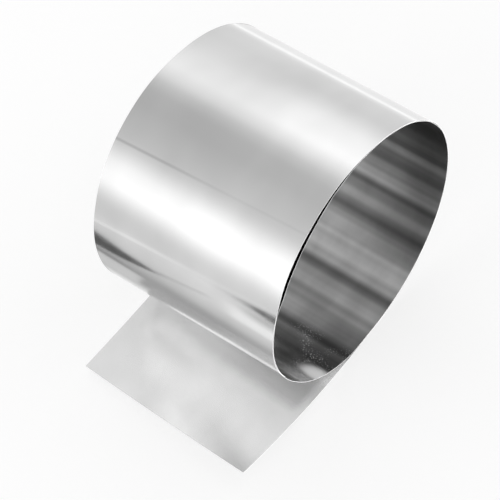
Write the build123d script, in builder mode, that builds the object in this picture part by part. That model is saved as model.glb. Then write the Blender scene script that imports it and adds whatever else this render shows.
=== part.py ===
from build123d import *
import math
import os

# One length of hard-rolled stainless steel strip, wound loosely into a roll.
# The roll sits on the strip's own free end, the tail, which springs up towards its tip.
# Millimetres. X is the axis of the roll, Z is up, and the tail runs out along -Y.
# The origin is on the axis of the roll, half way across the strip.

# The strip
strip_width = 152.4
strip_length = 1270.0
strip_thickness = 0.3

# The roll, over its outermost turn
roll_outer_radius = 99.4

# Clear space between one turn and the next where they lie close
turn_gap = 0.2

# The outermost turn stands off the next one in a long thin crescent.
# Angles on the roll are in degrees from its lowest point, growing in the way the strip is wound.
crescent_start = 174.0
crescent_widest = 219.0
crescent_end = 250.0
crescent_gap = 3.4

# Last part of each turn, over which the strip steps in beside the turn before it
step_span = 60.0

# Flat stretch below the axis, where the end of the outermost turn lies on the root of the tail
seat_length = 20.0

# The tail, from below the axis to its tip. Its edge at +X is longer and curls up more than the
# edge at -X, because the tip isn't sheared quite square and the free end is a little twisted.
near_tail_length = 152.0
far_tail_length = 143.0
near_curl_radius = 405.0
far_curl_radius = 1540.0

half_width = strip_width / 2
half_thickness = strip_thickness / 2
turn_pitch = strip_thickness + turn_gap
outer_turn_radius = roll_outer_radius - half_thickness
full_turn = 360.0


def change_of_radius(start_radius, end_radius, angle):
    """Two bends that carry the strip from one circle about the axis to another.

    Each bend takes half of the angle and is tangent to its circle. The bend at the larger circle
    is tighter than it, and the other is flatter than the smaller circle, by the same amount.
    """
    rise = end_radius - start_radius
    amount = rise / (2 * (1 - math.cos(math.radians(angle) / 2)))
    return [(start_radius + amount, angle / 2), (end_radius - amount, angle / 2)]


def step_in(start_radius, end_radius, flat_length):
    """Two bends that bring the strip from one circle about the axis down to the level of the next.

    Each bend takes half of the step. Their radii follow from how far the strip still has to go
    across and down, so that it arrives level, a flat length before the lowest point.
    """
    turn = math.radians(step_span)
    half = turn / 2
    across = start_radius * math.sin(turn) - flat_length
    down = end_radius - start_radius * math.cos(turn)
    first_across = math.sin(turn) - math.sin(half)
    first_down = math.cos(half) - math.cos(turn)
    second_across = math.sin(half)
    second_down = 1 - math.cos(half)
    scale = first_across * second_down - first_down * second_across
    first_radius = (across * second_down - down * second_across) / scale
    second_radius = (down * first_across - across * first_down) / scale
    return [(first_radius, step_span / 2), (second_radius, step_span / 2)]


def outermost_turn(radius):
    """Bends of the turn that has the crescent, as (mid-line radius, angle) pairs."""
    widest_radius = radius + crescent_gap - turn_gap
    return [
        (radius, crescent_start),
        *change_of_radius(radius, widest_radius, crescent_widest - crescent_start),
        *change_of_radius(widest_radius, radius, crescent_end - crescent_widest),
        (radius, full_turn - step_span - crescent_end),
        *step_in(radius, radius - turn_pitch, seat_length),
    ]


def inner_turn(radius):
    """Bends of a turn that lies close inside the one before it."""
    return [
        (radius, full_turn - step_span),
        *step_in(radius, radius - turn_pitch, 0),
    ]


def bends_within(length):
    """Bends of the turns inside the outermost one, the last of them cut where the strip ends."""
    kept = []
    radius = outer_turn_radius - turn_pitch
    while True:
        for bend_radius, angle in inner_turn(radius):
            bend_length = bend_radius * math.radians(angle)
            if length <= bend_length:
                kept.append((bend_radius, math.degrees(length / bend_radius)))
                return kept
            kept.append((bend_radius, angle))
            length -= bend_length
        radius -= turn_pitch


# Turns are laid from the outside in, and the strip's length decides where the inner end comes.
outermost_bends = outermost_turn(outer_turn_radius)
outermost_length = seat_length + sum(r * math.radians(a) for r, a in outermost_bends)
tail_length = (near_tail_length + far_tail_length) / 2
inner_bends = bends_within(strip_length - tail_length - outermost_length)


def draw_turns(outward):
    """Draws one face of the wound strip, which lies outward of the mid-line by a distance.

    The face is parallel to the mid-line, so each bend keeps its angle and its radius grows by
    that distance. Returns the two ends of the line, the tail's end first.
    """
    level = -outer_turn_radius - outward
    root = Line((-seat_length, level), (0, level))
    bend = root
    for radius, angle in outermost_bends:
        bend = JernArc(bend @ 1, bend % 1, radius + outward, angle)
    bend = Line(bend @ 1, (0, (bend @ 1).Y))
    for radius, angle in inner_bends:
        bend = JernArc(bend @ 1, bend % 1, radius + outward, angle)
    return root @ 0, bend @ 1


def draw_curl(outward, curl_radius, edge_length):
    """Draws one face of the tail beyond the seat, along one edge of the strip."""
    root = (-seat_length, -outer_turn_radius - outward)
    angle = math.degrees((edge_length - seat_length) / curl_radius)
    curl = JernArc(root, (-1, 0), curl_radius + outward, -angle)
    return curl @ 0, curl @ 1


with BuildPart() as steel_strip:
    # The turns and the root of the tail are the same all across the strip
    with BuildSketch(Plane.YZ.offset(-half_width)):
        with BuildLine():
            outside = draw_turns(half_thickness)
            inside = draw_turns(-half_thickness)
            Line(outside[0], inside[0])
            Line(outside[1], inside[1])
        make_face()
    extrude(amount=strip_width)

    # The curl of the tail runs straight across from one edge of the strip to the other
    for x, curl_radius, edge_length in [
        (-half_width, far_curl_radius, far_tail_length),
        (half_width, near_curl_radius, near_tail_length),
    ]:
        with BuildSketch(Plane.YZ.offset(x)):
            with BuildLine():
                outside = draw_curl(half_thickness, curl_radius, edge_length)
                inside = draw_curl(-half_thickness, curl_radius, edge_length)
                Line(outside[0], inside[0])
                Line(outside[1], inside[1])
            make_face()
    loft(ruled=True)

steel_strip.part.label = "steel_strip"
os.makedirs("parts", exist_ok=True)
export_step(steel_strip.part, "parts/steel_strip.step")
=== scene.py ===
"""Roll of stainless steel strip: its finished surface, its metal, and a plain studio round it.

Lengths are in metres. An angle on the roll starts at its lowest point and grows towards +Y. The
strip starts at the tail's tip, and its outermost turn starts under the roll's axis.
"""

import math
from typing import NamedTuple

import bpy
import numpy as np
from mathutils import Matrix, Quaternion, Vector


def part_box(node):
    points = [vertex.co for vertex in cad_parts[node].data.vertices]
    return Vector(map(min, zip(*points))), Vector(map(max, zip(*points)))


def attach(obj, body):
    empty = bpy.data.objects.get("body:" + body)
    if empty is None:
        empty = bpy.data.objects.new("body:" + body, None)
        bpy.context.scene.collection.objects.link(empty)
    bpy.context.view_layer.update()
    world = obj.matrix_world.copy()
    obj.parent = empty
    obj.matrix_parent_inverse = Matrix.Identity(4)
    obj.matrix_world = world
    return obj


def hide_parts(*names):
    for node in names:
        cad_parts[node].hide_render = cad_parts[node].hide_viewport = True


bl_info = {
    "name": "Stainless Steel Strip Roll",
    "version": (1, 0, 0),
    "blender": (4, 5, 0),
    "location": "3D View > Sidebar > Strip Roll",
    "description": "Builds a loosely wound roll of stainless steel strip and a plain studio",
    "category": "Object",
}

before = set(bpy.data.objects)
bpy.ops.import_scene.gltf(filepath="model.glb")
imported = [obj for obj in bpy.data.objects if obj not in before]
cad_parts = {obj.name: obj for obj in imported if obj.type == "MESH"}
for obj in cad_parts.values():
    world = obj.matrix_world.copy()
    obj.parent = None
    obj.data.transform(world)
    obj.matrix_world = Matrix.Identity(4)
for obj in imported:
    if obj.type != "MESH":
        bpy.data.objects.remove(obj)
cad_low, cad_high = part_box("steel_strip")
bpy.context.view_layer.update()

FULL_TURN = 360.0
UV_NAME = "across_and_along"
TURNED_NAME = "turned"


class StripSizes(bpy.types.PropertyGroup):
    """Sizes of the strip and of the roll that it is wound into."""

    width: bpy.props.FloatProperty(
        name="Width", description="Width of the strip, along the roll's axis",
        default=cad_high.x - cad_low.x, unit="LENGTH",
    )
    thickness: bpy.props.FloatProperty(
        name="Thickness", description="Thickness of the strip", default=0.0003, unit="LENGTH",
    )
    outer_radius: bpy.props.FloatProperty(
        name="Outer radius", description="Radius of the roll over its outermost turn",
        default=-cad_low.z, unit="LENGTH",
    )
    turn_gap: bpy.props.FloatProperty(
        name="Turn gap", description="Clear space between two turns that lie close",
        default=0.0002, unit="LENGTH",
    )
    inner_end: bpy.props.FloatProperty(
        name="Inner end", description="Angle from the lowest point to the inner turn's end",
        default=math.radians(287.3), subtype="ANGLE",
    )
    crescent_start: bpy.props.FloatProperty(
        name="Crescent start", description="Where the outermost turn starts to stand off",
        default=math.radians(159.0), subtype="ANGLE",
    )
    dent_start: bpy.props.FloatProperty(
        name="Dent start", description="Where the inner turn starts to stand in",
        default=math.radians(169.0), subtype="ANGLE",
    )
    crescent_full: bpy.props.FloatProperty(
        name="Crescent full", description="From where the outermost turn stands out in full",
        default=math.radians(199.0), subtype="ANGLE",
    )
    crescent_widest: bpy.props.FloatProperty(
        name="Crescent widest", description="Where the gap between the two turns is widest",
        default=math.radians(221.0), subtype="ANGLE",
    )
    crescent_hold: bpy.props.FloatProperty(
        name="Crescent hold", description="Up to where the inner turn stands in by as much",
        default=math.radians(233.0), subtype="ANGLE",
    )
    crescent_end: bpy.props.FloatProperty(
        name="Crescent end", description="Where the two turns lie close again",
        default=math.radians(246.0), subtype="ANGLE",
    )
    crescent_bulge: bpy.props.FloatProperty(
        name="Crescent bulge", description="How far the outermost turn stands out there",
        default=0.0017, unit="LENGTH",
    )
    crescent_dent: bpy.props.FloatProperty(
        name="Crescent dent", description="How far the inner turn stands in at the widest place",
        default=0.0027, unit="LENGTH",
    )
    shoulder_height: bpy.props.FloatProperty(
        name="Shoulder height", description="Bulge of the outermost turn before its flat seat",
        default=0.0023, unit="LENGTH",
    )
    shoulder_start: bpy.props.FloatProperty(
        name="Shoulder start", description="Where that bulge starts",
        default=math.radians(305.0), subtype="ANGLE",
    )
    shoulder_top: bpy.props.FloatProperty(
        name="Shoulder top", description="Where that bulge would be full",
        default=math.radians(345.0), subtype="ANGLE",
    )
    slack_depth: bpy.props.FloatProperty(
        name="Slack depth", description="How far both turns hang in, along the edge at +X",
        default=0.0014, unit="LENGTH",
    )
    slack_start: bpy.props.FloatProperty(
        name="Slack start", description="Where both turns start to hang in",
        default=math.radians(264.0), subtype="ANGLE",
    )
    slack_full: bpy.props.FloatProperty(
        name="Slack full", description="Where they hang in the most",
        default=math.radians(293.0), subtype="ANGLE",
    )
    slack_end: bpy.props.FloatProperty(
        name="Slack end", description="Where they are back on the circle",
        default=math.radians(325.0), subtype="ANGLE",
    )
    ripple_height: bpy.props.FloatProperty(
        name="Ripple height", description="Height of the strip's slight waves inside the roll",
        default=0.0001, unit="LENGTH",
    )
    ripple_span: bpy.props.FloatProperty(
        name="Ripple span", description="Angle on the roll from one of those waves to the next",
        default=math.radians(17.5), subtype="ANGLE",
    )
    ripple_place: bpy.props.FloatProperty(
        name="Ripple place", description="Angle of the first crest past the lowest point",
        default=math.radians(1.8), subtype="ANGLE",
    )
    seat_length: bpy.props.FloatProperty(
        name="Seat length", description="Flat stretch under the roll's axis",
        default=0.020, unit="LENGTH",
    )
    near_tail_length: bpy.props.FloatProperty(
        name="Near tail length", description="From under the axis to the tip, along the edge at +X",
        default=0.152, unit="LENGTH",
    )
    far_tail_length: bpy.props.FloatProperty(
        name="Far tail length", description="From under the axis to the tip, along the edge at -X",
        default=0.143, unit="LENGTH",
    )
    near_curl_radius: bpy.props.FloatProperty(
        name="Near curl radius", description="Radius of the tail's curl along the edge at +X",
        default=0.405, unit="LENGTH",
    )
    far_curl_radius: bpy.props.FloatProperty(
        name="Far curl radius", description="Radius of the tail's curl along the edge at -X",
        default=1.54, unit="LENGTH",
    )


class StripFinish(bpy.types.PropertyGroup):
    """Finish of the bright rolled faces, of the satin tail and of the sheared edges."""

    metal_colour: bpy.props.FloatVectorProperty(
        name="Metal colour", description="Colour of the rolled faces", subtype="COLOR",
        default=(0.77, 0.77, 0.77), min=0.0, max=1.0,
    )
    outer_roughness: bpy.props.FloatProperty(
        name="Outer roughness", description="Roughness of the face that is outside on the roll",
        default=0.15, subtype="FACTOR",
    )
    outer_grain: bpy.props.FloatProperty(
        name="Outer grain", description="How much that face's rolling lines stretch reflections",
        default=0.5, subtype="FACTOR",
    )
    inner_roughness: bpy.props.FloatProperty(
        name="Inner roughness", description="Roughness of the face that is inside on the roll",
        default=0.30, subtype="FACTOR",
    )
    inner_grain: bpy.props.FloatProperty(
        name="Inner grain", description="How much that face's rolling lines stretch reflections",
        default=0.85, subtype="FACTOR",
    )
    tail_colour: bpy.props.FloatVectorProperty(
        name="Tail colour", description="Colour of the satin tail", subtype="COLOR",
        default=(0.97, 0.97, 0.97), min=0.0, max=1.0,
    )
    tail_metallic: bpy.props.FloatProperty(
        name="Tail metallic", description="Share of the satin that reflects as metal",
        default=0.75, subtype="FACTOR",
    )
    tail_roughness: bpy.props.FloatProperty(
        name="Tail roughness", description="Roughness of the satin tail",
        default=0.23, subtype="FACTOR",
    )
    tail_grain: bpy.props.FloatProperty(
        name="Tail grain", description="How much the tail's rolling lines stretch reflections",
        default=0.5, subtype="FACTOR",
    )
    edge_roughness: bpy.props.FloatProperty(
        name="Edge roughness", description="Roughness of the sheared edges",
        default=0.35, subtype="FACTOR",
    )


class StudioPlace(bpy.types.PropertyGroup):
    """Floor, light and camera."""

    floor_size: bpy.props.FloatProperty(
        name="Floor size", description="Half the side of the square floor",
        default=12.0, unit="LENGTH",
    )
    floor_colour: bpy.props.FloatVectorProperty(
        name="Floor colour", description="Colour of the floor", subtype="COLOR",
        default=(0.45, 0.45, 0.45), min=0.0, max=1.0,
    )
    floor_glow: bpy.props.FloatProperty(
        name="Floor glow", description="Light that the floor gives off", default=0.62,
    )
    tent_brightness: bpy.props.FloatProperty(
        name="Tent brightness", description="Strength of the light tent", default=1.0,
    )
    edge_lamp_brightness: bpy.props.FloatProperty(
        name="Edge lamp brightness",
        description="Brightness of the low lamp for the near edges, as a share of the tent's",
        default=0.9,
    )
    mouth_card_brightness: bpy.props.FloatProperty(
        name="Mouth card brightness", description="Brightness of the grey card at the far mouth",
        default=0.60,
    )
    camera_target: bpy.props.FloatVectorProperty(
        name="Camera target", description="Point that the camera looks at", subtype="TRANSLATION",
        default=(0.0020, -0.0329, -0.0158),
    )
    camera_distance: bpy.props.FloatProperty(
        name="Camera distance", description="From the target to the camera",
        default=1.282, unit="LENGTH",
    )
    camera_azimuth: bpy.props.FloatProperty(
        name="Camera azimuth", description="Angle of the camera from -Y towards +X",
        default=math.radians(49.42), subtype="ANGLE",
    )
    camera_elevation: bpy.props.FloatProperty(
        name="Camera elevation", description="Height of the camera above the horizon, as an angle",
        default=math.radians(57.46), subtype="ANGLE",
    )
    camera_roll: bpy.props.FloatProperty(
        name="Camera roll", description="Turn of the camera about its own line of sight",
        default=math.radians(-13.89), subtype="ANGLE",
    )
    camera_lens: bpy.props.FloatProperty(
        name="Camera lens", description="Focal length in millimetres on a 36 mm sensor",
        default=134.6,
    )


# Steps of the strip's mesh: across the strip, along the tail, and as an angle along the turns
ACROSS_STEPS = 20
TAIL_STEPS = 150
STEP_ANGLE = math.radians(0.45)

# The ripple fades in between these angles, before the inside comes into view. Its long wave's span
# and height are these times its short wave's.
RIPPLE_FADE_START, RIPPLE_FADE_END = math.radians(288.0), math.radians(304.0)
LONG_WAVE_SPAN, LONG_WAVE_HEIGHT = 2.7, 0.8

# Width of the rounding between the shoulder and the flat seat, as a difference of radius
SEAT_ROUNDING = 0.0007
# Up to this angle past the axis's level the flat seat's radius is held, far outside the roll
SEAT_LIMIT = math.radians(15.0)

# The inner face keeps the tail's satin up to this angle past the lowest point
SATIN_END = math.radians(20.0)
# Two faces that meet at more than this angle meet in a sharp edge
SHARP_ANGLE = math.radians(40.0)

# Places of the strip's materials, after the outer face in place 0
INNER_SLOT, TAIL_SLOT, EDGE_SLOT = 1, 2, 3


def smooth_rise(angle, start, end):
    """0 before start, 1 after end, and between them 6t^5 - 15t^4 + 10t^3 for t, the share gone.

    Its slope and curvature are continuous, so that a reflection in the metal shows no kink.
    """
    t = np.clip((angle - start) / (end - start), 0.0, 1.0)
    return t ** 3 * (t * (6.0 * t - 15.0) + 10.0)


def smooth_lesser(a, b, width):
    """The lesser of two values, with the corner between them rounded over about a width.

    It is -width * log(exp(-a / width) + exp(-b / width)).
    """
    return -width * np.logaddexp(-a / width, -b / width)


def hump(angle, start, top, hold, end):
    """Rises smoothly from 0 at start to 1 at top, stays there until hold, and falls to 0 at end."""
    return smooth_rise(angle, start, top) * (1.0 - smooth_rise(angle, hold, end))


def winding_ripple(turned, sizes):
    """Slight waves of the strip inside the roll, by the angle turned since its start.

    It is a cosine with its first crest just past the lowest point, plus a lower one of longer span.
    Both fade in before the inside comes into view.
    """
    beyond = turned - 2.0 * math.pi - sizes.ripple_place
    short_wave = np.cos(2.0 * math.pi * beyond / sizes.ripple_span)
    long_wave = np.cos(2.0 * math.pi * beyond / (LONG_WAVE_SPAN * sizes.ripple_span))
    fade = smooth_rise(turned, RIPPLE_FADE_START, RIPPLE_FADE_END)
    return sizes.ripple_height * fade * (short_wave + LONG_WAVE_HEIGHT * long_wave)


def outer_turn_radius(angle, sizes):
    """Radius of the outermost turn's mid-line at an angle from the lowest point.

    It is the roll's radius, plus the crescent's bulge, the shoulder's rise and the ripple. Near the
    full turn the strip lies flat, where the radius is the seat's level divided by the cosine of the
    angle, and the radius passes smoothly from the one to the other.
    """
    radius = sizes.outer_radius - sizes.thickness / 2
    bulge = sizes.crescent_bulge * hump(
        angle, sizes.crescent_start, sizes.crescent_full, sizes.crescent_widest, sizes.crescent_end,
    )
    shoulder = sizes.shoulder_height * smooth_rise(angle, sizes.shoulder_start, sizes.shoulder_top)
    seat_level = radius - sizes.thickness - sizes.turn_gap
    below_axis = np.maximum(angle - 1.5 * math.pi, SEAT_LIMIT)
    flat_part = seat_level / np.sin(below_axis)
    round_part = radius + bulge + shoulder
    return smooth_lesser(round_part, flat_part, SEAT_ROUNDING) + winding_ripple(angle, sizes)


def inner_turn_radius(angle, sizes):
    """Radius of the inner turn's mid-line: a pitch inside the roll, less the dent, plus ripple."""
    radius = sizes.outer_radius - 1.5 * sizes.thickness - sizes.turn_gap
    dent = sizes.crescent_dent * hump(
        angle, sizes.dent_start, sizes.crescent_widest, sizes.crescent_hold, sizes.crescent_end,
    )
    return radius - dent + winding_ripple(angle + 2.0 * math.pi, sizes)


def turn_surface(angles, radii, across, sizes):
    """A turn as a grid of points: y is radius * sin(angle) and z is -radius * cos(angle).

    Above the shoulder both turns hang in by a slack, which is taken from the radius. It is a hump
    by the angle, and grows evenly from nothing at the edge at -X to its full depth at +X.
    """
    share = across / sizes.width + 0.5
    slack = sizes.slack_depth * hump(
        angles, sizes.slack_start, sizes.slack_full, sizes.slack_full, sizes.slack_end,
    )
    radius = radii[:, None] - slack[:, None] * share
    y, z = radius * np.sin(angles)[:, None], -radius * np.cos(angles)[:, None]
    return np.stack([np.broadcast_to(across, y.shape), y, z], axis=-1)


def tail_surface(across, sizes):
    """The tail from its tip to under the roll's axis, as a grid of points (x, y, z).

    Along any line of the strip it is flat over the seat and then bends up on a circle, so that it
    runs back radius * sin(a) and rises radius * (1 - cos(a)). The length of that line and its
    curvature, 1 / radius, change evenly from one edge of the strip to the other.
    """
    share = across / sizes.width + 0.5
    length = sizes.far_tail_length + (sizes.near_tail_length - sizes.far_tail_length) * share
    far_curvature, near_curvature = 1 / sizes.far_curl_radius, 1 / sizes.near_curl_radius
    curvature = far_curvature + (near_curvature - far_curvature) * share
    way = np.linspace(1.0, 0.0, TAIL_STEPS, endpoint=False)[:, None] * length
    bent = np.maximum(way - sizes.seat_length, 0.0) * curvature
    y = -np.minimum(way, sizes.seat_length) - np.sin(bent) / curvature
    z = -(sizes.outer_radius - sizes.thickness / 2) + (1.0 - np.cos(bent)) / curvature
    return np.stack([np.broadcast_to(across, y.shape), y, z], axis=-1)


def strip_mid_surface(sizes):
    """Mid-surface of the whole strip: a grid along it from the tail's tip and across it from -X.

    Also gives how far each row has turned since the outermost turn started, 0 along the tail.
    """
    across = np.linspace(-0.5, 0.5, ACROSS_STEPS + 1) * sizes.width
    turn = 2.0 * math.pi
    outer_angles = np.linspace(0.0, turn, round(turn / STEP_ANGLE), endpoint=False)
    inner_angles = np.linspace(0.0, sizes.inner_end, round(sizes.inner_end / STEP_ANGLE))
    tail = tail_surface(across, sizes)
    outer = turn_surface(outer_angles, outer_turn_radius(outer_angles, sizes), across, sizes)
    inner = turn_surface(inner_angles, inner_turn_radius(inner_angles, sizes), across, sizes)
    turned = np.concatenate([np.zeros(TAIL_STEPS), outer_angles, turn + inner_angles])
    return np.concatenate([tail, outer, inner]), turned


def thicken(surface, thickness):
    """Vertices of a closed sheet about a mid-surface, and quads of its outer, inner and edge faces.

    The unit normal is the cross product of the grid's two gradients, and the two faces lie half
    the thickness along it either way. Quads round the border close the sheet.
    """
    along, across = np.gradient(surface, axis=(0, 1))
    normal = np.cross(along, across)
    normal /= np.linalg.norm(normal, axis=-1, keepdims=True)
    outer = surface + normal * thickness / 2
    inner = surface - normal * thickness / 2
    vertices = np.concatenate([outer.reshape(-1, 3), inner.reshape(-1, 3)])

    rows, columns = surface.shape[:2]
    shift = rows * columns
    number = np.arange(shift).reshape(rows, columns)
    corner, next_row = number[:-1, :-1], number[1:, :-1]
    next_column, opposite = number[:-1, 1:], number[1:, 1:]
    faces = np.stack([corner, next_row, opposite, next_column], axis=-1).reshape(-1, 4)
    border = np.concatenate([number[:, 0], number[-1, 1:], number[-2::-1, -1], number[0, -2:0:-1]])
    following = np.roll(border, -1)
    edges = np.stack([border, border + shift, following + shift, following], axis=-1)
    return vertices, faces, faces[:, ::-1] + shift, edges


def strip_mesh(sizes):
    """Mesh of the strip, with the places of its materials, its flat map and how far it has turned.

    The flat map holds the place across from the edge at -X and the way along from the tail's tip.
    How far the strip has turned since the outermost turn started is kept in shares of a turn.
    """
    surface, turned = strip_mid_surface(sizes)
    vertices, outer, inner, edges = thicken(surface, sizes.thickness)
    quads = np.concatenate([outer, inner, edges])
    mesh = bpy.data.meshes.new("steel_strip_finished")
    mesh.from_pydata(vertices.tolist(), [], quads.tolist())

    on_tail = np.repeat(turned[1:] < SATIN_END, surface.shape[1] - 1)
    material = np.concatenate([
        np.zeros(len(outer)),
        np.where(on_tail, TAIL_SLOT, INNER_SLOT),
        np.full(len(edges), EDGE_SLOT),
    ])
    mesh.polygons.foreach_set("material_index", material.astype(np.int32))

    steps = np.linalg.norm(np.diff(surface[:, 0], axis=0), axis=-1)
    along = np.concatenate([[0.0], np.cumsum(steps)])
    flat = np.empty(surface.shape[:2] + (2,))
    flat[..., 0] = surface[..., 0] + sizes.width / 2
    flat[..., 1] = along[:, None]
    both_faces = np.tile(flat.reshape(-1, 2), (2, 1))
    corners = np.empty(len(mesh.loops), dtype=np.int32)
    mesh.loops.foreach_get("vertex_index", corners)
    layer = mesh.uv_layers.new(name=UV_NAME)
    layer.data.foreach_set("uv", both_faces[corners].astype(np.float32).ravel())

    turned_shares = np.repeat(turned / (2.0 * math.pi), surface.shape[1])
    attribute = mesh.attributes.new(TURNED_NAME, "FLOAT", "POINT")
    attribute.data.foreach_set("value", np.tile(turned_shares, 2).astype(np.float32))

    mesh.polygons.foreach_set("use_smooth", np.ones(len(quads), dtype=bool))
    mesh.set_sharp_from_angle(angle=SHARP_ANGLE)
    mesh.update()
    return mesh


class Change(NamedTuple):
    """A smooth change from one number to another, while another value goes from start to end."""

    start: float
    end: float
    before: float
    after: float


class Stretch(NamedTuple):
    """A stretch with soft ends: where it starts to come in, is full, starts to fade, and ends."""

    start: float
    full: float
    fade: float
    end: float


class Mottle(NamedTuple):
    """Uneven patches: how many to the metre across and along, and their least and most value."""

    across: float
    along: float
    detail: float
    low: float
    high: float


class SlantedLine(NamedTuple):
    """A line across the strip: its angle in degrees at the edge at -X, and degrees to the metre."""

    at_edge: float
    slant: float


class FaintLine(NamedTuple):
    """A thin line across the outer face, darker or lighter by a strength that changes across."""

    line: SlantedLine
    half_width: float
    strength: Change


# Patterns of the faces go by the flat map's places across and along, in metres, and by how far the
# strip has turned, in shares of a turn.

# What is left of the shine where nothing marks a face is 1. It is never more than this.
MOST_SHINE = 1.29
# Shine and roughness where a face is pale, by a rolled-over edge or the glint patch, and that
# edge's width. The edges' paler colour is partly a painted highlight along the rim
PALE_SHINE = 1.2
PALE_ROUGHNESS = 0.5
ROLLED_OVER = Change(0.0, 0.0003, 1.0, 0.0)
# Roughness varies by this much over the patches of a face, as shares of its own value
LEAST_ROUGH, MOST_ROUGH = 0.9, 1.1

# Outer face: painted shade makes it dark where the outermost turn covers it, and its edges lie
# hidden there
OUTER_SHINE_AND_PAINTED_SHADE = Change(1.01, 1.03, 1.0, 0.2)
OUTER_EDGE = Change(1.01, 1.03, 1.0, 0.0)
OUTER_PATCHES = Mottle(22.0, 14.0, 2.0, 0.96, 1.04)
OUTER_ROUGH_PATCHES = Mottle(60.0, 12.0, 2.0, LEAST_ROUGH, MOST_ROUGH)
# Painted light: a brighter underside beside the tail
UNDERSIDE_TURNED, UNDERSIDE_STRENGTH = Stretch(0.81, 0.83, 0.96, 0.99), 0.28
# Painted light and shade on the upper half: a little darker at its far edge, and a painted
# highlight on top by its near edge
UPPER_TURNED, UPPER_STRENGTH = Stretch(0.43, 0.46, 0.70, 0.74), Change(0.03, 0.10, -0.06, 0.03)
TOP_TURNED, TOP_STRENGTH = Stretch(0.42, 0.46, 0.485, 0.51), Change(0.05, 0.13, 0.0, 0.14)
# Two bands of painted reflection that follow a line down the lower flank, by degrees past it: a
# dark one nearer the near edge, and a bright one nearer the far edge
FLANK_LINE = SlantedLine(284.0, -81.0)
PAINTED_DARK_BAND_PAST = Stretch(6.2, 10.3, 17.0, 22.0)
PAINTED_DARK_BAND_STRENGTH = Change(0.055, 0.120, 0.0, -0.70)
BRIGHT_BAND_PAST, BRIGHT_BAND_STRENGTH = Stretch(-0.5, 2.5, 9.0, 13.0), 0.40
BRIGHT_BAND_ACROSS = Stretch(0.026, 0.044, 0.042, 0.058)
# Faint painted lines of reflection, darker or lighter, from the top of the flank down
FAINT_LINES = (
    FaintLine(SlantedLine(212.8, -28.0), 1.0, Change(0.020, 0.100, -0.22, -0.05)),
    FaintLine(SlantedLine(249.0, -46.0), 1.6, Change(0.020, 0.100, 0.14, 0.05)),
    FaintLine(SlantedLine(249.0, 0.0), 3.6, Change(0.112, 0.142, 0.0, -0.28)),
    FaintLine(SlantedLine(265.4, 0.0), 2.4, Change(0.008, 0.055, -0.30, 0.0)),
    FaintLine(SlantedLine(287.8, -68.0), 2.8, Change(0.088, 0.118, 0.0, -0.28)),
)
# One more painted line that ends before it reaches either edge
SHORT_LINE = FaintLine(SlantedLine(262.1, -96.0), 1.7, Change(0.050, 0.062, 0.0, -0.12))
SHORT_LINE_END = Change(0.092, 0.104, 1.0, 0.0)

# Inner face: streaks of painted reflection and painted shade across it, as degrees past the lowest
# point and what is left of the shine
PAINTED_REFLECTION_STREAKS = (
    # The outermost turn's stretch that shows above the inner end
    (-81, 1.0), (-61, 1.3), (-49, 1.35), (-41, 0.88), (-34, 0.52), (-29, 0.37), (-25, 0.42),
    (-21, 0.54), (-18, 0.21), (-13, 0.44), (-4, 0.56),
    # The inner turn, from the lowest point up to where the camera's view into the bore ends
    (6, 0.76), (11.5, 0.25), (15.5, 0.90), (22.5, 0.90), (32, 0.62), (39.5, 0.20), (42, 0.29),
    (46, 0.57), (50.5, 0.27), (53, 0.17), (56.5, 0.52), (62.5, 0.43), (67.5, 0.25), (71.5, 0.45),
    (75, 1.0), (78.5, 0.34), (98.5, 0.46), (114.5, 0.75),
)
# Finer painted streaks of reflection, so many to a turn, where the face shows in the bore
FINE_STREAKS, FINE_STRENGTH, FINE_TURNED = 80.0, 0.6, Change(0.77, 0.80, 0.0, 1.0)
# Shade where the inner turn covers the outermost one's inner face
COVERED_TURNED, COVERED_SHADE = Stretch(0.15, 0.20, 0.765, 0.78), 0.8
# Painted light and shade: the bore is brighter half way in and darker by its near mouth, but not
# over its lowest part
PAINTED_DEPTH_LIGHT, DEPTH_START = Change(0.080, 0.146, 0.50, -0.32), Change(0.025, 0.055, 0.0, 1.0)
LOWEST_PART = Stretch(0.975, 0.99, 1.065, 1.09)
INNER_PATCHES = Mottle(40.0, 24.0, 3.0, 0.90, 1.10)
# A painted glint by the near edge, as a pale matt patch: its place, the units of its size, and its
# soft end
GLINT_TURNED, GLINT_ACROSS = 0.894, 0.149
GLINT_TURNED_UNIT, GLINT_ACROSS_UNIT = 0.0125, 0.011
GLINT_FADE, GLINT_SOFTNESS = Change(0.0, 4.2, 1.0, 0.0), 2.8
# Specks of dust in clusters, and a haze
DUST_TURNED, DUST_ACROSS = Stretch(0.84, 0.86, 0.945, 0.965), Change(0.09, 0.12, 0.0, 1.0)
DUST_SPECKS = Mottle(900.0, 900.0, 0.0, -18.0, 0.45)
DUST_CLUSTERS = Mottle(63.0, 63.0, 0.0, -0.5, 1.2)
HAZE_TURNED, HAZE_ACROSS = Stretch(0.835, 0.855, 0.876, 0.895), Change(0.120, 0.150, 0.0, 1.0)
HAZE_STRENGTH, HAZE_MOTTLE = 0.26, Mottle(400.0, 400.0, 2.0, 0.4, 1.5)

# Tail: shade towards the roll, less of it by either edge
ROLL_SHADE_ALONG = Change(0.054, 0.068, 0.0, 1.0)
ROLL_SHADE_NEAR, ROLL_SHADE_FAR = Change(0.143, 0.151, 0.34, 0.05), Change(0.035, 0.100, 0.10, 1.0)
# Shade along the far edge, which lifts over a soft patch in the middle
FAR_EDGE_SHINE = Change(0.020, 0.095, 0.79, 1.0)
LIFT_ALONG, LIFT_END = Change(0.040, 0.056, 0.0, 1.0), Change(0.058, 0.070, 1.0, 0.1)
LIFT_ACROSS = Change(0.010, 0.024, 0.0, 1.0)
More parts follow.
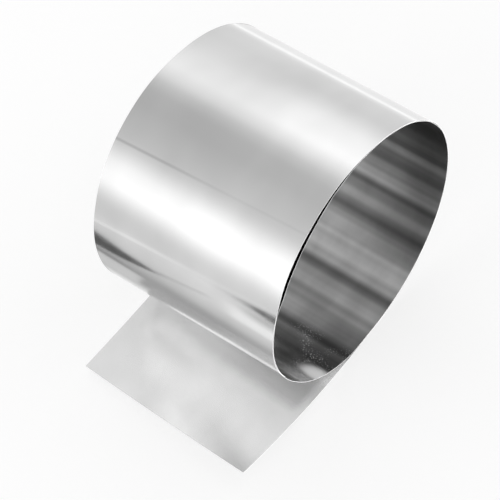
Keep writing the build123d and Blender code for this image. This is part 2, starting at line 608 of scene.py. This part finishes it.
# Slight shade at the tip
TIP_ACROSS, TIP_ALONG = Stretch(0.030, 0.065, 0.088, 0.120), Change(0.012, 0.045, 1.0, 0.0)
TIP_SHADE = 0.10
TAIL_PATCHES = Mottle(26.0, 18.0, 2.0, 0.97, 1.03)
TAIL_ROUGH_PATCHES = Mottle(60.0, 20.0, 2.0, LEAST_ROUGH, MOST_ROUGH)

# A mottle's noise stays almost wholly between these two values
NOISE_LOW, NOISE_HIGH = 0.25, 0.75


class PatternNodes:
    """Adds nodes to a node tree by what they work out from numbers or other nodes' outputs."""

    def __init__(self, tree):
        self.nodes, self.links = tree.nodes, tree.links
        self.nodes.clear()

    def added(self, kind, **settings):
        """A new node of a kind, with its settings."""
        node = self.nodes.new(kind)
        for name, setting in settings.items():
            setattr(node, name, setting)
        return node

    def feed(self, socket, value):
        """Set a socket to a number or a colour, or link another node's output to it."""
        if isinstance(value, bpy.types.NodeSocket):
            self.links.new(value, socket)
        else:
            socket.default_value = value

    def calculated(self, operation, *values):
        """Result of a Math node."""
        node = self.added("ShaderNodeMath", operation=operation)
        for socket, value in zip(node.inputs, values):
            self.feed(socket, value)
        return node.outputs[0]

    def product(self, first, *others):
        """Values multiplied together."""
        for other in others:
            first = self.calculated("MULTIPLY", first, other)
        return first

    def total(self, first, *others):
        """Values added up."""
        for other in others:
            first = self.calculated("ADD", first, other)
        return first

    def greatest(self, first, *others):
        """The greatest of some values."""
        for other in others:
            first = self.calculated("MAXIMUM", first, other)
        return first

    def rest_of_one(self, value):
        """1 less a value."""
        return self.calculated("SUBTRACT", 1.0, value)

    def changed(self, value, change):
        """A smooth change while a value goes through it."""
        node = self.added("ShaderNodeMapRange", interpolation_type="SMOOTHSTEP")
        for socket, number in zip(("From Min", "From Max", "To Min", "To Max"), change):
            node.inputs[socket].default_value = number
        self.feed(node.inputs["Value"], value)
        return node.outputs["Result"]

    def within(self, value, stretch):
        """1 over a stretch of a value and 0 outside it, with its soft ends."""
        rise = self.changed(value, Change(stretch.start, stretch.full, 0.0, 1.0))
        return self.product(rise, self.changed(value, Change(stretch.fade, stretch.end, 1.0, 0.0)))

    def ramped(self, value, stops, interpolation):
        """Brightness along stops (place, brightness), by a value that runs over those places."""
        first, last = stops[0][0], stops[-1][0]
        share = self.calculated("DIVIDE", self.calculated("SUBTRACT", value, first), last - first)
        ramp = self.added("ShaderNodeValToRGB")
        ramp.color_ramp.interpolation = interpolation
        elements = ramp.color_ramp.elements
        while len(elements) < len(stops):
            elements.new(1.0)
        for element, (place, brightness) in zip(elements, stops):
            element.position = (place - first) / (last - first)
            element.color = (brightness, brightness, brightness, 1.0)
        self.links.new(share, ramp.inputs["Fac"])
        return ramp.outputs["Color"]


class FaceNodes(PatternNodes):
    """Nodes of a new material for a face of the strip, with the places that its pattern goes by."""

    def __init__(self, name, grain):
        self.material = bpy.data.materials.new(name)
        self.material.use_nodes = True
        super().__init__(self.material.node_tree)
        self.metal = self.added("ShaderNodeBsdfPrincipled")
        self.metal.inputs["Anisotropic"].default_value = grain
        output = self.added("ShaderNodeOutputMaterial")
        self.links.new(self.metal.outputs["BSDF"], output.inputs["Surface"])
        lines = self.added("ShaderNodeTangent", direction_type="UV_MAP", uv_map=UV_NAME)
        self.links.new(lines.outputs["Tangent"], self.metal.inputs["Tangent"])
        self.flat = self.added("ShaderNodeUVMap", uv_map=UV_NAME).outputs["UV"]
        parts = self.added("ShaderNodeSeparateXYZ")
        self.links.new(self.flat, parts.inputs["Vector"])
        self.across, self.along = parts.outputs["X"], parts.outputs["Y"]

    def turned(self):
        """How far the strip has turned, in shares of a turn."""
        return self.added("ShaderNodeAttribute", attribute_name=TURNED_NAME).outputs["Fac"]

    def mottled(self, mottle):
        """Uneven values in patches over the flat strip."""
        spread = self.added("ShaderNodeMapping")
        spread.inputs["Scale"].default_value = (mottle.across, mottle.along, 1.0)
        self.links.new(self.flat, spread.inputs["Vector"])
        noise = self.added("ShaderNodeTexNoise", noise_dimensions="2D")
        noise.inputs["Scale"].default_value = 1.0
        noise.inputs["Detail"].default_value = mottle.detail
        self.links.new(spread.outputs["Vector"], noise.inputs["Vector"])
        values = Change(NOISE_LOW, NOISE_HIGH, mottle.low, mottle.high)
        return self.changed(noise.outputs["Fac"], values)

    def past_line(self, turned, line):
        """Degrees past a slanted line."""
        line_angle = self.calculated("MULTIPLY_ADD", self.across, line.slant, line.at_edge)
        return self.calculated("SUBTRACT", self.product(turned, FULL_TURN), line_angle)

    def faint_line(self, turned, faint):
        """A faint line: 1 along its middle and 0 half its width away, times its strength."""
        off = self.calculated("ABSOLUTE", self.past_line(turned, faint.line))
        middle = self.changed(off, Change(0.0, faint.half_width, 1.0, 0.0))
        return self.product(middle, self.changed(self.across, faint.strength))

    def rolled_over_edge(self):
        """1 at either edge of the strip, and 0 from where the face isn't rolled over any more."""
        other_edge = self.calculated("SUBTRACT", cad_high.x - cad_low.x, self.across)
        return self.changed(self.calculated("MINIMUM", self.across, other_edge), ROLLED_OVER)

    def colour(self, colour, shine):
        """Colour the metal by a colour times a shine."""
        shade = self.added("ShaderNodeMix", data_type="RGBA", blend_type="MULTIPLY")
        shade.inputs["Factor"].default_value = 1.0
        shade.inputs["A"].default_value = (*colour, 1.0)
        self.links.new(shine, shade.inputs["B"])
        self.links.new(shade.outputs["Result"], self.metal.inputs["Base Color"])

    def colour_rolled(self, finish, shine, pale):
        """Colour bright rolled metal by its shine, but by the pale shine as far as it is pale."""
        shine = self.calculated("MINIMUM", shine, MOST_SHINE)
        lift = self.calculated("SUBTRACT", PALE_SHINE, shine)
        self.colour(finish.metal_colour, self.calculated("MULTIPLY_ADD", pale, lift, shine))

    def roughen(self, roughness, pale):
        """Give the metal its roughness, or the pale one as far as it is pale, if that is more."""
        rough = self.greatest(roughness, self.product(pale, PALE_ROUGHNESS))
        self.links.new(rough, self.metal.inputs["Roughness"])


def outer_face_material(finish):
    """Bright cold-rolled face outside on the roll, whose fine lines blur reflections across it.

    Its colour holds painted reflections, highlights and shade in soft bands and faint lines, and
    painted shade where the outermost turn covers it; its rolled-over edges are pale, partly as a
    painted highlight.
    """
    face = FaceNodes("outer_face", finish.outer_grain)
    turned, across = face.turned(), face.across
    underside = face.product(face.within(turned, UNDERSIDE_TURNED), UNDERSIDE_STRENGTH)
    upper = face.product(face.within(turned, UPPER_TURNED), face.changed(across, UPPER_STRENGTH))
    top = face.product(face.within(turned, TOP_TURNED), face.changed(across, TOP_STRENGTH))
    past = face.past_line(turned, FLANK_LINE)
    # A dark and a bright band of painted reflection down the lower flank
    painted_dark_band = face.product(
        face.within(past, PAINTED_DARK_BAND_PAST), face.changed(across, PAINTED_DARK_BAND_STRENGTH),
    )
    bright_band = face.product(face.within(past, BRIGHT_BAND_PAST), BRIGHT_BAND_STRENGTH)
    bright_band = face.product(bright_band, face.within(across, BRIGHT_BAND_ACROSS))
    faint_lines = [face.faint_line(turned, faint) for faint in FAINT_LINES]
    short_line = face.faint_line(turned, SHORT_LINE)
    short_line = face.product(short_line, face.changed(across, SHORT_LINE_END))
    shine = face.total(
        face.changed(turned, OUTER_SHINE_AND_PAINTED_SHADE),
        underside, upper, top, painted_dark_band, bright_band, *faint_lines, short_line,
    )
    # Rolled-over edges are rougher, and painted paler as a highlight along the rim
    pale = face.product(face.rolled_over_edge(), face.changed(turned, OUTER_EDGE))
    face.colour_rolled(finish, face.product(shine, face.mottled(OUTER_PATCHES)), pale)
    face.metal.inputs["Metallic"].default_value = 1.0
    roughness = face.product(face.mottled(OUTER_ROUGH_PATCHES), finish.outer_roughness)
    face.roughen(roughness, pale)
    return face.material


def shine_with_painted_streaks(face, turned):
    """What the painted reflection streaks and the painted shade between the turns leave of the
    inner face's shine.
    """
    degrees = face.calculated("MULTIPLY_ADD", turned, FULL_TURN, -FULL_TURN)
    streaks = face.ramped(degrees, PAINTED_REFLECTION_STREAKS, "EASE")
    fine = face.added("ShaderNodeTexNoise", noise_dimensions="1D")
    fine.inputs["Scale"].default_value = 1.0
    fine.inputs["Detail"].default_value = 1.0
    face.links.new(face.product(turned, FINE_STREAKS), fine.inputs["W"])
    spread = face.product(
        face.changed(turned, FINE_TURNED), face.calculated("SUBTRACT", fine.outputs["Fac"], 0.5),
    )
    fine_streaks = face.calculated("MULTIPLY_ADD", spread, FINE_STRENGTH, 1.0)
    covered = face.product(face.within(turned, COVERED_TURNED), COVERED_SHADE)
    return face.product(streaks, fine_streaks, face.rest_of_one(covered))


def painted_depth_light(face, turned):
    """Painted light and shade: how many times brighter the bore is by the depth in it."""
    by_depth = face.changed(face.across, PAINTED_DEPTH_LIGHT)
    by_depth = face.product(by_depth, face.changed(face.across, DEPTH_START))
    not_low = face.rest_of_one(face.within(turned, LOWEST_PART))
    return face.calculated("MULTIPLY_ADD", by_depth, not_low, 1.0)


def painted_glint(face, turned):
    """A pale matt patch painted as a glint, which fades as the squares of the two distances from
    its middle add up.
    """
    along = face.calculated("SUBTRACT", turned, GLINT_TURNED)
    along = face.calculated("DIVIDE", along, GLINT_TURNED_UNIT)
    across = face.calculated("SUBTRACT", face.across, GLINT_ACROSS)
    across = face.calculated("DIVIDE", across, GLINT_ACROSS_UNIT)
    off = face.total(face.product(along, along), face.product(across, across))
    return face.calculated("POWER", face.changed(off, GLINT_FADE), GLINT_SOFTNESS)


def dust(face, turned):
    """Specks of dust in clusters, on the part of the bore by the inner end that the camera sees."""
    place = face.product(face.within(turned, DUST_TURNED), face.changed(face.across, DUST_ACROSS))
    clusters = face.greatest(face.mottled(DUST_CLUSTERS), 0.0)
    return face.product(place, clusters, face.greatest(face.mottled(DUST_SPECKS), 0.0))


def haze(face, turned):
    """A thin pale haze by the near edge, above the glint patch."""
    place = face.product(face.within(turned, HAZE_TURNED), HAZE_STRENGTH)
    return face.product(place, face.changed(face.across, HAZE_ACROSS), face.mottled(HAZE_MOTTLE))


def inner_face_material(finish):
    """Duller rolled face inside on the roll, with painted reflection streaks and painted shade
    across it, a pale patch painted as a glint, and dust and haze.
    """
    face = FaceNodes("inner_face", finish.inner_grain)
    turned = face.turned()
    shine = face.product(shine_with_painted_streaks(face, turned), painted_depth_light(face, turned))
    shine = face.product(shine, face.mottled(INNER_PATCHES))
    # The glint patch is a painted highlight; the dust and haze are marks on the metal
    glint_dust_and_haze = face.greatest(painted_glint(face, turned), dust(face, turned), haze(face, turned))
    pale = face.greatest(face.rolled_over_edge(), glint_dust_and_haze)
    face.colour_rolled(finish, shine, pale)
    face.feed(face.metal.inputs["Metallic"], face.rest_of_one(glint_dust_and_haze))
    roughness = face.calculated("MULTIPLY_ADD", glint_dust_and_haze, PALE_ROUGHNESS, finish.inner_roughness)
    face.roughen(roughness, pale)
    return face.material


def tail_material(finish):
    """Satin finish of the tail's upper face, duller in soft patches than the bright roll, with
    painted shade towards the roll, along the far edge and at the tip.
    """
    face = FaceNodes("satin_tail", finish.tail_grain)
    face.metal.inputs["Metallic"].default_value = finish.tail_metallic
    roll_shade = face.product(
        face.changed(face.along, ROLL_SHADE_ALONG),
        face.changed(face.across, ROLL_SHADE_NEAR), face.changed(face.across, ROLL_SHADE_FAR),
    )
    far_edge = face.changed(face.across, FAR_EDGE_SHINE)
    lifted = face.product(
        face.changed(face.along, LIFT_ALONG), face.changed(face.across, LIFT_ACROSS),
        face.changed(face.along, LIFT_END),
    )
    far_edge = face.calculated("MULTIPLY_ADD", lifted, face.rest_of_one(far_edge), far_edge)
    tip_shade = face.product(
        face.within(face.across, TIP_ACROSS), TIP_SHADE, face.changed(face.along, TIP_ALONG),
    )
    shine = face.product(
        face.mottled(TAIL_PATCHES),
        face.rest_of_one(roll_shade), far_edge, face.rest_of_one(tip_shade),
    )
    face.colour(finish.tail_colour, shine)
    roughness = face.product(face.mottled(TAIL_ROUGH_PATCHES), finish.tail_roughness)
    face.feed(face.metal.inputs["Roughness"], roughness)
    return face.material


def plain_material(name, kind):
    """A material of one shader node, its output and the tree that they are in."""
    material = bpy.data.materials.new(name)
    material.use_nodes = True
    pattern = PatternNodes(material.node_tree)
    shader = pattern.added(kind)
    output = pattern.added("ShaderNodeOutputMaterial")
    pattern.links.new(shader.outputs[0], output.inputs["Surface"])
    return material, shader, output, pattern


def sheared_edge_material(finish):
    """Edge left by the slitter: the same metal, rougher."""
    material, metal, _, _ = plain_material("sheared_edge", "ShaderNodeBsdfPrincipled")
    metal.inputs["Base Color"].default_value = (*finish.metal_colour, 1.0)
    metal.inputs["Metallic"].default_value = 1.0
    metal.inputs["Roughness"].default_value = finish.edge_roughness
    return material


# Brightness of the light tent's wall, by degrees from straight down, growing towards +Y
TENT_WALL = (
    # Behind the roll: a low broad panel, and above it a thin lamp
    (0, 0.80), (24, 1.16), (45, 0.96), (58, 0.97),
    (61, 0.99), (64.3, 1.42), (67.8, 0.98), (75, 0.84),
    # Up the back to a soft panel
    (99, 0.80), (112, 0.86), (125, 1.00), (143, 1.12), (154, 0.95),
    # Grey roof
    (162, 0.715), (173, 0.58), (189, 0.57), (206, 0.64), (219, 0.70), (225, 0.82),
    # Bright broad panel high in front, on the tail's side
    (239, 1.26), (251, 1.38), (263, 1.39), (271, 1.18),
    # Front below it, with a faint lamp, and a dark strip near the floor
    (282, 0.80), (289, 0.80), (292, 0.90), (299, 0.84),
    (307, 0.80), (319, 0.66), (327, 0.44), (344, 0.42), (360, 0.80),
)
# A low lamp in front of the near mouth shines on the sheared edges there. It lies round an angle,
# with a soft side, and comes in between two values of a direction's X.
EDGE_LAMP_ANGLE = 24.0
EDGE_LAMP_SIDE = Change(16.0, 40.0, 1.0, 0.0)
EDGE_LAMP_TOWARDS_NEAR = (0.20, 0.36)


def light_tent(studio):
    """World light: brightness by a direction's angle about the X axis, the same all along it."""
    world = bpy.data.worlds.new("light_tent")
    bpy.context.scene.world = world
    world.use_nodes = True
    tent = PatternNodes(world.node_tree)
    direction = tent.added("ShaderNodeTexCoord")
    parts = tent.added("ShaderNodeSeparateXYZ")
    tent.links.new(direction.outputs["Generated"], parts.inputs["Vector"])
    angle = tent.calculated("ARCTAN2", parts.outputs["Y"], tent.product(parts.outputs["Z"], -1.0))
    share = tent.calculated("FRACT", tent.calculated("DIVIDE", angle, 2.0 * math.pi))
    degrees = tent.product(share, FULL_TURN)
    off_lamp = tent.calculated("ABSOLUTE", tent.calculated("SUBTRACT", degrees, EDGE_LAMP_ANGLE))
    in_front = Change(*EDGE_LAMP_TOWARDS_NEAR, 0.0, studio.edge_lamp_brightness)
    lamp = tent.changed(parts.outputs["X"], in_front)
    lamp = tent.product(lamp, tent.changed(off_lamp, EDGE_LAMP_SIDE))
    background = tent.added("ShaderNodeBackground")
    tent.links.new(tent.ramped(degrees, TENT_WALL, "LINEAR"), background.inputs["Color"])
    strength = tent.calculated("MULTIPLY_ADD", lamp, studio.tent_brightness, studio.tent_brightness)
    tent.links.new(strength, background.inputs["Strength"])
    output = tent.added("ShaderNodeOutputWorld")
    tent.links.new(background.outputs["Background"], output.inputs["Surface"])


def staged_face(name, corners, material):
    """A flat face of the studio, by its corners (x, y, z) in order round it."""
    mesh = bpy.data.meshes.new(name)
    mesh.from_pydata(corners, [], [tuple(range(len(corners)))])
    mesh.materials.append(material)
    flat_face = bpy.data.objects.new(name, mesh)
    bpy.context.scene.collection.objects.link(flat_face)
    return flat_face


def reflected_card(name, corners, brightness):
    """A flat card that gives off an even light, and that only the metal sees."""
    material, glow, _, _ = plain_material(name, "ShaderNodeEmission")
    glow.inputs["Strength"].default_value = brightness
    card = staged_face(name, corners, material)
    card.visible_camera = False
    card.visible_diffuse = False
    card.visible_shadow = False


# Card at the far mouth: its radius as a share of the roll's, how far off it is, and its corners
MOUTH_CARD_SHARE, MOUTH_CARD_GAP, MOUTH_CARD_CORNERS = 1.01, 0.0015, 64


def mouth_card(studio):
    """A round grey card just past the bore's far mouth, which keeps the bore dark."""
    turn = np.linspace(0.0, 2.0 * math.pi, MOUTH_CARD_CORNERS, endpoint=False)
    radius = cad_high.z * MOUTH_CARD_SHARE
    place = np.full_like(turn, cad_low.x - MOUTH_CARD_GAP)
    rim = np.stack([place, radius * np.cos(turn), radius * np.sin(turn)], axis=-1)
    reflected_card("mouth_card", rim.tolist(), studio.mouth_card_brightness)


# Brightness and corners (x, y) of the three cards that lie on the tail's side, just above the floor
LOW_BAR_BRIGHTNESS, FRONT_GLOW_BRIGHTNESS, SIDE_GLOW_BRIGHTNESS = 0.10, 1.00, 0.70
LYING_CARD_LIFT = 0.001
LOW_BAR = [
    (-0.402, -0.376), (-0.180, -0.248), (-0.145, -0.228), (-0.102, -0.220),
    (-0.111, -0.202), (-0.125, -0.185), (-0.152, -0.175), (-0.402, -0.153),
]
FRONT_GLOW = [(-0.092, -0.346), (-0.042, -0.238), (0.098, -0.238), (0.098, -0.346)]
SIDE_GLOW = [
    (-0.401, -0.137), (-0.151, -0.152), (-0.093, -0.153), (-0.087, -0.114), (-0.401, -0.114),
]
# Brightness, place (y) and corners (x, z) of the card that stands upright beyond the tail
SIDE_BAR_BRIGHTNESS, SIDE_BAR_PLACE = 0.05, -0.353
SIDE_BAR = [(-0.081, -0.050), (-0.038, -0.072), (0.017, -0.086), (0.017, -0.034), (-0.038, -0.034)]


def lying_card(name, corners, brightness):
    """A card that lies just above the floor. Its corners are points (x, y)."""
    level = cad_low.z + LYING_CARD_LIFT
    reflected_card(name, [(x, y, level) for x, y in corners], brightness)


def tail_side_cards():
    """Two dark and two bright cards on the tail's side, which the flank reflects as accents."""
    lying_card("low_bar", LOW_BAR, LOW_BAR_BRIGHTNESS)
    reflected_card("side_bar", [(x, SIDE_BAR_PLACE, z) for x, z in SIDE_BAR], SIDE_BAR_BRIGHTNESS)
    lying_card("front_glow", FRONT_GLOW, FRONT_GLOW_BRIGHTNESS)
    lying_card("side_glow", SIDE_GLOW, SIDE_GLOW_BRIGHTNESS)


def floor_plane(studio):
    """A level square at the lowest point of the CAD solid, which the metal doesn't reflect."""
    side = studio.floor_size
    corners = [(x * side, y * side, cad_low.z) for x, y in ((-1, -1), (1, -1), (1, 1), (-1, 1))]
    material, matt, output, pattern = plain_material("pale_floor", "ShaderNodeBsdfDiffuse")
    matt.inputs["Color"].default_value = (*studio.floor_colour, 1.0)
    glow = pattern.added("ShaderNodeEmission")
    glow.inputs["Strength"].default_value = studio.floor_glow
    both = pattern.added("ShaderNodeAddShader")
    pattern.links.new(matt.outputs["BSDF"], both.inputs[0])
    pattern.links.new(glow.outputs["Emission"], both.inputs[1])
    pattern.links.new(both.outputs["Shader"], output.inputs["Surface"])
    staged_face("floor", corners, material).visible_glossy = False


def place_camera(studio):
    """Camera on a sphere about its target, turned about its own line of sight."""
    level = math.cos(studio.camera_elevation)
    away = Vector((
        level * math.sin(studio.camera_azimuth),
        -level * math.cos(studio.camera_azimuth),
        math.sin(studio.camera_elevation),
    ))
    data = bpy.data.cameras.new("camera")
    data.lens = studio.camera_lens
    camera = bpy.data.objects.new("camera", data)
    camera.location = Vector(studio.camera_target) + away * studio.camera_distance
    camera.rotation_mode = "QUATERNION"
    facing = (-away).to_track_quat("-Z", "Y")
    camera.rotation_quaternion = facing @ Quaternion((0.0, 0.0, 1.0), studio.camera_roll)
    bpy.context.scene.collection.objects.link(camera)
    bpy.context.scene.camera = camera


class STRIP_OT_steel_strip(bpy.types.Operator):
    """Build the strip's finished surface in place of its plain solid"""

    bl_idname = "strip_roll.steel_strip"
    bl_label = "Steel strip"

    def execute(self, context):
        finish = context.scene.strip_finish
        mesh = strip_mesh(context.scene.strip_sizes)
        faces = (outer_face_material, inner_face_material, tail_material, sheared_edge_material)
        for face_material in faces:
            mesh.materials.append(face_material(finish))
        strip = bpy.data.objects.new("steel_strip_finished", mesh)
        context.scene.collection.objects.link(strip)
        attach(strip, "root")
        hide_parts("steel_strip")
        return {"FINISHED"}


class STRIP_OT_studio(bpy.types.Operator):
    """Set out the pale floor, the soft light and the camera"""

    bl_idname = "strip_roll.studio"
    bl_label = "Studio"

    def execute(self, context):
        studio = context.scene.strip_studio
        floor_plane(studio)
        mouth_card(studio)
        tail_side_cards()
        light_tent(studio)
        place_camera(studio)
        context.scene.view_settings.view_transform = "Standard"
        return {"FINISHED"}


class STRIP_PT_panel(bpy.types.Panel):
    """Sizes, finish and studio of the roll, and the buttons that build them"""

    bl_idname = "STRIP_PT_panel"
    bl_label = "Strip Roll"
    bl_space_type = "VIEW_3D"
    bl_region_type = "UI"
    bl_category = "Strip Roll"

    def draw(self, context):
        scene = context.scene
        for group in (scene.strip_sizes, scene.strip_finish, scene.strip_studio):
            column = self.layout.column()
            for name in group.bl_rna.properties.keys():
                if name not in ("rna_type", "name"):
                    column.prop(group, name)
        self.layout.operator(STRIP_OT_steel_strip.bl_idname)
        self.layout.operator(STRIP_OT_studio.bl_idname)


CLASSES = (
    StripSizes, StripFinish, StudioPlace, STRIP_OT_steel_strip, STRIP_OT_studio, STRIP_PT_panel,
)


def register():
    for one in CLASSES:
        bpy.utils.register_class(one)
    bpy.types.Scene.strip_sizes = bpy.props.PointerProperty(type=StripSizes)
    bpy.types.Scene.strip_finish = bpy.props.PointerProperty(type=StripFinish)
    bpy.types.Scene.strip_studio = bpy.props.PointerProperty(type=StudioPlace)


def unregister():
    del bpy.types.Scene.strip_studio
    del bpy.types.Scene.strip_finish
    del bpy.types.Scene.strip_sizes
    for one in reversed(CLASSES):
        bpy.utils.unregister_class(one)


def main():
    register()
    bpy.ops.strip_roll.steel_strip()
    bpy.ops.strip_roll.studio()


if __name__ == "__main__":
    main()
